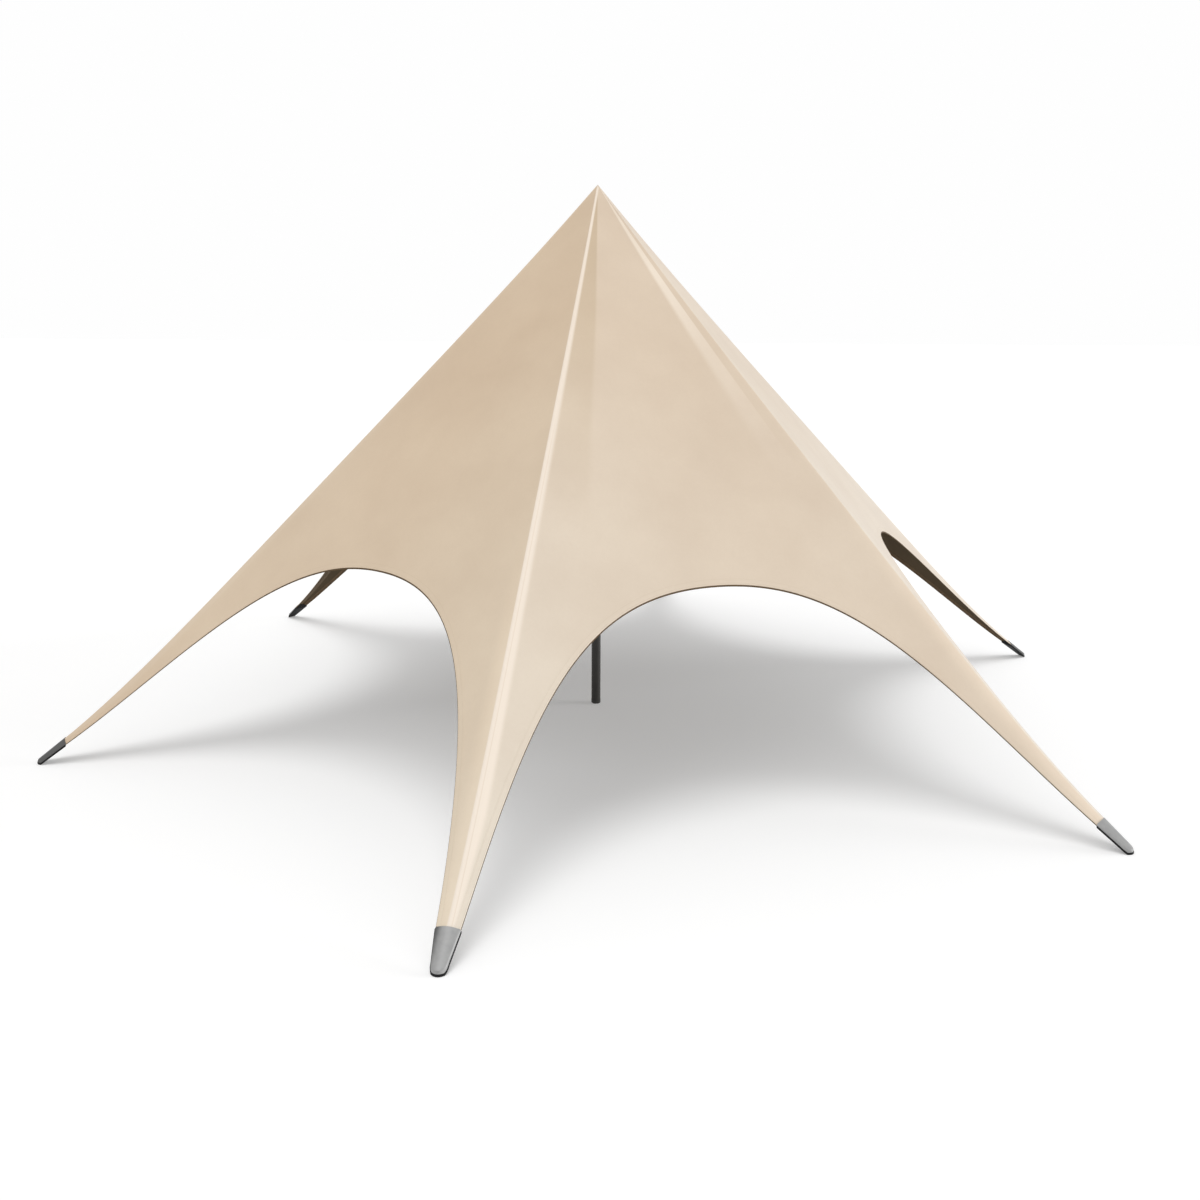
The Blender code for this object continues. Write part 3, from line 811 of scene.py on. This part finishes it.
def half_bay_grid(phase):
    """Points and attributes of the half bay beside one ridge, on the outer face and on the inner one."""
    shares = np.linspace(0, 1, ROWS_ALONG + 1)
    inner_line = hem_line(shares, HEM_WIDTH)
    crown_run = inner_line[0, 0]
    above = crown_run * (np.arange(ROWS_ABOVE) / ROWS_ABOVE) ** ROW_CROWDING
    runs = np.concatenate([above, inner_line[:, 0]])
    inner_sides = np.concatenate([above * TAN_HALF, inner_line[:, 1]])
    run = np.repeat(runs[:, None], BODY_COLUMNS + len(HEM_INSETS) - 1, axis=1)
    side = np.zeros_like(run)
    for row, inner_side in enumerate(inner_sides):
        side[row, :BODY_COLUMNS] = row_sides(inner_side)
        side[row, BODY_COLUMNS:] = inner_side
    for column, distance in enumerate(HEM_INSETS[1:]):
        line = hem_line(shares, distance)
        run[ROWS_ABOVE:, BODY_COLUMNS + column] = line[:, 0]
        side[ROWS_ABOVE:, BODY_COLUMNS + column] = line[:, 1]
    edge_line = hem_line(np.linspace(0, 1, EDGE_SAMPLES), 0.0)
    flat = np.stack([run.ravel(), side.ravel()], axis=1)
    inset = np.sqrt(((flat[:, None, :] - edge_line[None]) ** 2).sum(-1)).min(1).reshape(run.shape)
    for column, distance in enumerate(HEM_INSETS):
        inset[ROWS_ABOVE:, BODY_COLUMNS - 1 + column] = distance
    run[-1] += cap_bow(side[-1])
    top = canopy_height(run, side)
    top += bead(run, side) * smooth(inset / BEAD_FADE_EDGE)
    top += tension_wave(run, side, inset, phase)
    folded = (inset < (HEM_INSETS[0] + HEM_INSETS[1]) / 2).astype(float)
    top += HEM_STEP * folded - edge_drop(inset)
    bottom = canopy_height(run, side) + tension_wave(run, side, inset, phase) - CLOTH_THICKNESS
    bottom += bead(run, side) * BEAD_INSIDE
    bottom = np.minimum(bottom, top - THINNEST_CLOTH)
    return run, side, top, bottom, inset


def add_canopy(materials):
    """One continuous cloth: twelve half bays, welded at the ridges and at the bays' middles."""
    points, faces, kinds = [], [], []
    cloth, edge, seam = [], [], []
    count = 0
    for number, azimuth in enumerate(ARM_NAMES.values()):
        for mirrored in (False, True):
            bay = number if mirrored else (number - 1) % ARM_COUNT
            run, side, top, bottom, inset = half_bay_grid(FIRST_PHASE + PHASE_STEP * bay)
            rows, columns = run.shape
            # above the crown the hem's columns all lie on the bay's middle line
            has_area = np.ones((rows - 1, columns - 1), bool)
            has_area[:ROWS_ABOVE, BODY_COLUMNS - 1:] = False
            across = (run * SIN_HALF - side * COS_HALF) * (1 if mirrored else -1)
            out = (run * COS_HALF + side * SIN_HALF) * math.hypot(1, PEAK_HEIGHT / SPREAD / COS_HALF)
            edge_run = lengths_along(np.stack([run, side, top], axis=-1)[ROWS_ABOVE:, -1])
            row_run = np.concatenate([run[:ROWS_ABOVE, 0], run[ROWS_ABOVE, 0] + edge_run])
            seam_run = np.repeat(row_run[:, None], columns, axis=1)
            for face, height in (("outer", top), ("inner", bottom)):
                grid = np.stack([side, run, height], axis=-1).reshape(-1, 3)
                points.append(arm_to_world(grid, azimuth, mirrored))
                quads = grid_faces(count, rows, columns, flip=(face == "outer") == mirrored)
                quads = quads[has_area.ravel()]
                faces.extend(quads.tolist())
                kinds.extend([0 if face == "outer" else 1] * len(quads))
                apart = np.full(run.size, BAY_OFFSET * bay)
                cloth.append(np.stack([across.ravel(), out.ravel(), apart], axis=1))
                edge.append(inset.ravel())
                seam.append(seam_run.ravel())
                count += run.size
            top_first = count - 2 * run.size
            index = np.arange(run.size).reshape(rows, columns)
            rim = np.concatenate([index[ROWS_ABOVE:, -1], index[-1, ::-1][1:]])
            for a, b in zip(rim, rim[1:]):
                quad = [top_first + a, top_first + b, top_first + run.size + b, top_first + run.size + a]
                faces.append(quad[::-1] if mirrored else quad)
                kinds.append(0)
    points = np.concatenate(points).tolist()
    mesh = new_mesh("canopy", points, faces, materials["outer"], materials["inner"])
    mesh.polygons.foreach_set("material_index", np.array(kinds, np.int32))
    add_attribute(mesh, "cloth", np.concatenate(cloth))
    add_attribute(mesh, "edge_distance", np.concatenate(edge))
    add_attribute(mesh, "seam_run", np.concatenate(seam))
    finish_mesh(mesh, 50, merge=2e-5, flat=2e-6, outward=False)
    canopy = new_object("canopy", mesh)
    set_up(canopy, "canopy_fabric", *(f"canopy_panel_{name}" for name in BAY_NAMES))
    return canopy


# Webbing


def add_swept(label, slot, places, sections, strap, material):
    """A closed skin through a row of cross sections, each a loop of points, turned to each of the places."""
    stations, around = sections.shape[:2]
    faces = []
    for i in range(stations - 1):
        for j in range(around):
            k = (j + 1) % around
            faces.append((i * around + j, i * around + k, (i + 1) * around + k, (i + 1) * around + j))
    faces.append(tuple(range(around))[::-1])
    faces.append(tuple((stations - 1) * around + j for j in range(around)))
    for name, azimuth in places.items():
        points = arm_to_world(sections, azimuth).reshape(-1, 3).tolist()
        mesh = new_mesh(f"{label}_{name}", points, faces, material)
        add_attribute(mesh, "strap", strap.reshape(-1, 3))
        finish_mesh(mesh, 55)
        set_up(new_object(f"{label}_{name}", mesh), slot, f"{slot}_{name}")


def add_hems(materials):
    """The tape under each hem, from its inner edge out round the cord and back."""
    shares = np.linspace(0, 1, HEM_STATIONS)
    radius = EDGE_CORD_RADIUS
    centre = radius - CORD_OVERHANG
    loop = [(inset, 0.0) for inset in TAPE_INSETS]
    for degrees in range(-20, -261, -20):
        turn = math.radians(degrees)
        loop.append((centre + radius * math.sin(turn), radius - radius * math.cos(turn)))
    loop += [(inset, EDGE_TAPE_THICKNESS) for inset in (centre + radius * 0.98, TAPE_MIDDLE, HEM_WIDTH)]
    halves = []
    slimming = 1 - CORD_SLIMMING * smooth(shares)
    for inset, depth in loop:
        line = hem_line(shares, inset)
        x = line[:, 0] * SIN_HALF - line[:, 1] * COS_HALF
        y = line[:, 0] * COS_HALF + line[:, 1] * SIN_HALF
        z = canopy_height(line[:, 0], line[:, 1]) - CLOTH_THICKNESS - LAYER_GAP - depth * slimming
        halves.append(np.stack([x, y, z], axis=1))
    half = np.stack(halves, axis=1)
    mirror = half[:0:-1] * np.array([-1, 1, 1])
    sections = np.concatenate([mirror, half])
    strap = np.zeros(sections.shape)
    strap[..., 1] = lengths_along(sections[:, len(loop) // 2])[:, None]
    strap[..., 0] = np.array([inset for inset, _ in loop])[None]
    add_swept("hem", "hem_webbing", BAY_NAMES, sections, strap, materials["hem"])


def add_ridge_straps(materials):
    runs = np.linspace(PATCH_RADIUS + GAP, CAP_START - 0.001, STRAP_STATIONS)
    half = STRAP_WIDTH / 2
    selvedge = half - STRAP_SELVEDGE
    sides = np.array([-half, -selvedge, -0.016, -0.008, 0, 0.008, 0.016, selvedge, half])
    loop = [(s, 0.0) for s in sides] + [(s, STRAP_THICKNESS) for s in sides[::-1]]
    sections = []
    for run in runs:
        section = []
        for side, depth in loop:
            height = float(canopy_height(run, side) + bead(run, side) * BEAD_INSIDE)
            rounded = STRAP_ROUNDING if abs(side) > selvedge else 0.0
            inward = rounded if depth else -rounded
            section.append((side, run, height - CLOTH_THICKNESS - LAYER_GAP - depth + inward))
        sections.append(section)
    sections = np.array(sections)
    strap = np.zeros(sections.shape)
    strap[..., 0] = np.array([s for s, _ in loop])[None]
    strap[..., 1] = lengths_along(sections[:, len(sides) // 2])[:, None]
    add_swept("ridge_strap", "ridge_webbing", ARM_NAMES, sections, strap, materials["strap"])


def add_peak_patch(materials):
    """The round reinforcement under the peak, with a rolled rim."""
    points, faces, strap = [], [], []
    for layer in (0, 1):
        for radius in PATCH_RADII:
            for step in range(PATCH_STEPS):
                turn = 2 * math.pi * step / PATCH_STEPS
                from_ridge = (turn + HALF_BAY) % (2 * HALF_BAY) - HALF_BAY
                run = max(radius * math.cos(from_ridge), 1e-6)
                side = radius * math.sin(from_ridge)
                height = float(canopy_height(run, side)) if radius else PEAK_HEIGHT
                height += BEAD_INSIDE * float(bead(run, side))
                height -= CLOTH_THICKNESS + LAYER_GAP + layer * PATCH_THICKNESS
                if radius == PATCH_RADIUS:
                    height += PATCH_ROUNDING if layer else -PATCH_ROUNDING
                points.append((radius * math.sin(turn), radius * math.cos(turn), height))
                strap.append((radius, turn * PATCH_RADIUS, 0))
    rings = len(PATCH_RADII)
    for layer in (0, 1):
        for i in range(rings - 1):
            for j in range(PATCH_STEPS):
                k = (j + 1) % PATCH_STEPS
                a = (layer * rings + i) * PATCH_STEPS
                quad = (a + j, a + k, a + PATCH_STEPS + k, a + PATCH_STEPS + j)
                faces.append(quad if layer else quad[::-1])
    last = (rings - 1) * PATCH_STEPS
    below = last + rings * PATCH_STEPS
    for j in range(PATCH_STEPS):
        k = (j + 1) % PATCH_STEPS
        faces.append((last + j, last + k, below + k, below + j))
    mesh = new_mesh("peak_patch_cloth", points, faces, materials["strap"])
    add_attribute(mesh, "strap", np.array(strap))
    finish_mesh(mesh, 50, merge=2e-5, flat=2e-6)
    set_up(new_object("peak_reinforcement", mesh), "ridge_webbing", "peak_patch")


# Foot caps


NOSE_RUN = SPREAD - TOE_LENGTH
FLANK_STATIONS = 22
TOE_STEPS = 18
TOE_BLEND = math.radians(20)  # the turn over which the flank's normals become the toe's


def cap_half_width(run):
    share = (run - CAP_START) / (NOSE_RUN - CAP_START)
    return (1 - share) * (ARM_TIP_HALF_WIDTH + CAP_PROUD) + share * TOE_HALF_WIDTH


def cap_outline(inset_all, back):
    """Plan points (side, run) and outward normals of half the cap's outline, from its back to the toe."""
    places, normals = [], []
    taper = (ARM_TIP_HALF_WIDTH + CAP_PROUD - TOE_HALF_WIDTH) / (NOSE_RUN - CAP_START)
    flank = Vector((1, taper)).normalized()
    for run in np.linspace(back, NOSE_RUN, FLANK_STATIONS)[:-1]:
        places.append((cap_half_width(run) - inset_all, run))
        normals.append(tuple(flank))
    for step in range(TOE_STEPS + 1):
        turn = math.radians(90 * step / TOE_STEPS)
        across, out = TOE_HALF_WIDTH - inset_all, TOE_LENGTH - inset_all
        places.append((across * math.cos(turn), NOSE_RUN + out * math.sin(turn)))
        blend = min(1.0, turn / TOE_BLEND)
        round_toe = Vector((out * math.cos(turn), across * math.sin(turn))).normalized()
        normals.append(tuple((round_toe * blend + flank * (1 - blend)).normalized()))
    return np.array(places), np.array(normals)


def cap_top(run, side):
    """Height of a cap's top, which is rounder across than the arm's end."""
    half = cap_half_width(np.minimum(run, NOSE_RUN))
    edge = canopy_height(run, half)
    crown = canopy_height(run, 0.0 * half) - edge
    share = np.clip((run - CAP_START) / (SPREAD - CAP_START), 0, 1)
    return edge + crown * np.maximum(0, 1 - (side / half) ** 2) + CAP_PROUD - TOE_DROP * share**2


def arm_underside(run):
    start = float(canopy_height(CAP_START, ARM_TIP_HALF_WIDTH)) - CAP_LIP
    share = (run - CAP_START) / (SPREAD - SOLE_CONTACT_LENGTH - CAP_START)
    return start + share * (SOLE_THICKNESS - start)


def cap_bottom(run, side):
    return np.maximum(TOE_SOLE_THICKNESS, arm_underside(run))


def raised(surface, rise):
    """The surface lifted by rise, like it a function of run and side."""
    return lambda run, side: surface(run, side) + rise


def pad_mesh(name, outline, normals, rim, top, bottom, columns, material):
    """A closed pad from half an outline. rim lists the rings down its side, each with its inset from the
    outline and its surface. These surfaces, the top and the bottom are functions of run and side."""
    rings = []
    for inset, surface in rim:
        plan = outline - normals * inset
        plan[:, 0] = np.maximum(plan[:, 0], 0)
        rings.append(np.column_stack([plan, surface(plan[:, 1], plan[:, 0])]))
    right = np.stack(rings, axis=1)
    left = right * np.array([-1, 1, 1])
    points, faces = [], []

    def add_grid(grid, flip):
        first = len(points)
        points.extend(grid.reshape(-1, 3).tolist())
        faces.extend(grid_faces(first, grid.shape[0], grid.shape[1], flip).tolist())

    add_grid(right, False)
    add_grid(left, True)
    shares = np.linspace(0, 1, columns + 1)[None, :, None]
    for level, surface, flip in ((0, top, False), (-1, bottom, True)):
        line = right[:, level][:, None] * (1 - shares) + left[:, level][:, None] * shares
        inner = line[:, 1:-1]
        behind = smooth(1 - (inner[..., 1] - CAP_START) / BOW_REACH)
        inner[..., 1] += behind * cap_bow(inner[..., 0])
        inner[..., 2] = surface(inner[..., 1], inner[..., 0])
        line[:, 1:-1] = inner
        add_grid(line, flip)
    mesh = new_mesh(name, points, faces, material)
    finish_mesh(mesh, 38, merge=2e-5, flat=1e-6, fill=True)
    return mesh


def cap_mesh(material, seal):
    """A cap of cast alloy, closed where the arm enters with black rubber, which is partly a seal and partly
    painted shade on the cap's shaded back.
    """
    outline, normals = cap_outline(0.0, CAP_START + GAP)
    radius = CAP_EDGE_RADIUS

    def shoulder(turn_degrees):
        turn = math.radians(turn_degrees)
        drop = radius * (1 - math.cos(turn))

        def height(run, side):
            start = np.minimum(cap_half_width(np.minimum(run, NOSE_RUN)), side + radius)
            top = cap_top(run, np.minimum(side, start))
            room = np.maximum(0, top - cap_bottom(run, side) - CAP_LEAST_SIDE)
            return top - np.minimum(drop, room * drop / radius)

        return radius * (1 - math.sin(turn)), height

    rim = [shoulder(turn_degrees) for turn_degrees in range(0, 91, 15)]
    rim += [(-CAP_RIM * share, raised(cap_bottom, rise)) for share, rise in CAP_RIM_RINGS]
    mesh = pad_mesh("cap", outline, normals, rim, cap_top, cap_bottom, 14, material)
    mesh.materials.append(seal)
    # the black rubber on the back faces is partly a seal and partly painted shade
    for face in mesh.polygons:
        if face.normal.y < SEAL_SLOPE and face.center.y < CAP_START + SEAL_DEPTH:
            face.material_index = 1
    return mesh


def sole_top(run, side):
    return cap_bottom(run, side) - GAP


def sole_bottom(run, side):
    return np.maximum(0.0, arm_underside(run) - SOLE_THICKNESS)


def sole_mesh(material):
    outline, normals = cap_outline(-SOLE_PROUD, CAP_START + GAP)
    rim = [(SOLE_EASE, sole_top), (0.0, raised(sole_top, -SOLE_EASE))]
    rim += [(inset, raised(sole_bottom, rise)) for inset, rise in SOLE_RINGS]
    return pad_mesh("sole", outline, normals, rim, sole_top, sole_bottom, 8, material)


def add_feet(materials):
    cap = cap_mesh(materials["cap"], materials["sole"])
    sole = sole_mesh(materials["sole"])
    for name, azimuth in ARM_NAMES.items():
        for label, mesh, slot in (("cap", cap, "foot_cap"), ("sole", sole, "foot_sole")):
            turned = mesh.copy()
            turned.transform(Matrix.Rotation(math.radians(azimuth - 90), 4, "Z"))
            piece = new_object(f"{label}_{name}", turned)
            set_up(piece, slot, f"foot_{label}_{name}")


# Mast


ROUND_STEPS = 96
MAST_WALL = 0.004
MAST_BEVEL = 0.008
CLAMP_GROOVE = 0.002  # depth of the clamp's groove, and half its width at the bottom
HEAD_EASE = 0.004
HEAD_LEDGE = 0.015
HEAD_FLAT = 0.003


def turned_piece(name, profile, material, slot, node):
    """A solid of revolution from a loop of (radius, height) points, whose corners the callers have eased."""
    points, faces = [], []
    count = len(profile)
    for step in range(ROUND_STEPS):
        turn = 2 * math.pi * step / ROUND_STEPS
        points += [(r * math.cos(turn), r * math.sin(turn), z) for r, z in profile]
    closed = profile[0][0] > 0
    for step in range(ROUND_STEPS):
        after = (step + 1) % ROUND_STEPS
        for i in range(count if closed else count - 1):
            k = (i + 1) % count
            faces.append((step * count + i, step * count + k, after * count + k, after * count + i))
    mesh = new_mesh(name, points, faces, material)
    finish_mesh(mesh, 38, merge=1e-6)
    set_up(new_object(name, mesh), slot, node)


def eased(profile, radius):
    """The profile with each corner cut by a small chamfer, so that edges catch the light."""
    result = []
    count = len(profile)
    closed = profile[0][0] > 0
    for i, point in enumerate(profile):
        if not closed and i in (0, count - 1):
            result.append(point)
            continue
        here = Vector(point)
        before = Vector(profile[i - 1]) - here
        after = Vector(profile[(i + 1) % count]) - here
        cut = min(radius, before.length / 3, after.length / 3)
        result.append(tuple(here + before.normalized() * cut))
        result.append(tuple(here + after.normalized() * cut))
    return result


def node_profile(node):
    """(lowest, highest, greatest radius) of a round CAD node."""
    low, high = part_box(node)
    return low.z, high.z, max(high.x, high.y)


def add_mast(materials):
    _, base_high, base_radius = node_profile("mast_base")
    tube_low, tube_high, tube_radius = node_profile("mast_lower_tube")
    upper_low, upper_high, upper_radius = node_profile("mast_upper_tube")
    collar_low, collar_high, collar_radius = node_profile("mast_collar")
    head_low, head_high, head_radius = node_profile("mast_head")
    head_slope = (PEAK_HEIGHT - TIP_HEIGHT + SAG_SCALE + PEAK_SWEEP) / SPREAD / COS_HALF
    head_rim = head_high - head_slope * head_radius
    seat = head_rim - HEAD_LEDGE
    bore = tube_radius - MAST_WALL - GAP
    ledge = tube_low - GAP
    turned_piece("mast_foot", eased([
        (0, base_high), (bore, base_high), (bore, ledge), (base_radius, ledge),
        (base_radius, MAST_BEVEL), (base_radius - MAST_BEVEL, 0.0), (0, 0.0)], 0.0015),
        materials["mast"], "mast", "mast_base")
    for name, node, radius, low, high in (
        ("mast_tube_lower", "mast_lower_tube", tube_radius, tube_low, tube_high),
        ("mast_tube_upper", "mast_upper_tube", upper_radius, upper_low, upper_high),
    ):
        profile = [(radius, high), (radius, low), (radius - MAST_WALL, low), (radius - MAST_WALL, high)]
        turned_piece(name, eased(profile, 0.001), materials["mast"], "mast", node)
    grip = upper_radius + GAP
    sleeve = tube_radius + GAP
    bevelled = collar_radius - MAST_BEVEL
    grooved = collar_radius - CLAMP_GROOVE
    turned_piece("mast_clamp", eased([
        (grip, collar_high), (bevelled, collar_high), (collar_radius, collar_high - MAST_BEVEL),
        (collar_radius, tube_high + 2 * CLAMP_GROOVE), (grooved, tube_high + CLAMP_GROOVE),
        (grooved, tube_high - CLAMP_GROOVE), (collar_radius, tube_high - 2 * CLAMP_GROOVE),
        (collar_radius, collar_low + MAST_BEVEL), (bevelled, collar_low),
        (sleeve, collar_low), (sleeve, tube_high + GAP), (grip, tube_high + GAP)], 0.001),
        materials["fitting"], "mast_fitting", "mast_collar")
    spigot = upper_radius - MAST_WALL - GAP
    turned_piece("mast_top", eased([
        (0, head_high), (head_radius - HEAD_EASE, head_rim + HEAD_EASE * head_slope),
        (head_radius, head_rim - HEAD_FLAT), (head_radius, seat), (spigot, seat), (spigot, head_low),
        (0, head_low)], 0.0015),
        materials["fitting"], "mast_fitting", "mast_head")


# Stage


FLOOR_SIZE = 240
FLOOR_ALBEDO = 0.8
FLOOR_GLOW = 0.272
WORLD_STRENGTH = 0.50
WORLD_SEEN = 0.992
LIGHT_DISTANCE = 20

# Name, degrees from straight overhead, degrees round from behind the camera to its right, width in degrees
# and strength
LIGHTS = (
    ("overhead", 7, -30, 32, 0.28),
    ("side", 85, 90, 30, 0.66),
    ("front_left", 35, -45, 40, 0.13),
)


def add_floor():
    bpy.ops.mesh.primitive_plane_add(size=FLOOR_SIZE)
    floor = bpy.context.object
    floor.name = "floor"
    material, nodes, shader = new_material("floor_paint")
    nodes.fill(shader, {
        "Base Color": (FLOOR_ALBEDO,) * 3 + (1.0,),
        "Roughness": 0.9,
        "Specular IOR Level": 0.1,
        "Emission Color": (1.0, 1.0, 0.995, 1.0),
        "Emission Strength": FLOOR_GLOW,
    })
    floor.data.materials.append(material)


def add_world():
    world = bpy.data.worlds.new("studio")
    bpy.context.scene.world = world
    world.use_nodes = True
    nodes = Nodes(world.node_tree)
    background = world.node_tree.nodes["Background"]
    seen = nodes.add("ShaderNodeLightPath").outputs["Is Camera Ray"]
    strength = nodes.map_range(seen, 0, 1, WORLD_STRENGTH, WORLD_SEEN)
    nodes.fill(background, {"Color": (1, 1, 1, 1), "Strength": strength})


def add_lights():
    """Broad distant lights, each as wide in the sky as a large softbox."""
    for name, zenith, round_turn, width, strength in LIGHTS:
        tilt, turn = radians(zenith, round_turn + CAMERA_TURN)
        place = (math.sin(tilt) * math.sin(turn), -math.sin(tilt) * math.cos(turn), math.cos(tilt))
        data = bpy.data.lights.new(name, "SUN")
        data.energy = strength * math.pi
        data.angle = math.radians(width)
        light = new_object(name, data)
        light.location = LIGHT_DISTANCE * Vector(place)
        light.rotation_euler = (-light.location).to_track_quat("-Z", "Y").to_euler()


def add_camera():
    data = bpy.data.cameras.new("camera")
    data.sensor_width = SENSOR_WIDTH
    data.lens = CAMERA_LENS
    data.shift_x = CAMERA_SHIFT
    data.clip_end = 400
    camera = new_object("camera", data)
    camera.location = CAMERA_PLACE
    camera.rotation_euler = (math.radians(90 - CAMERA_PITCH), 0, math.radians(CAMERA_TURN))
    bpy.context.scene.camera = camera


def main():
    add_camera()
    bpy.context.scene.view_settings.view_transform = "Standard"
    materials = make_materials()
    canopy = add_canopy(materials)
    add_hems(materials)
    add_ridge_straps(materials)
    add_peak_patch(materials)
    add_feet(materials)
    add_mast(materials)
    add_floor()
    add_world()
    add_lights()


main()
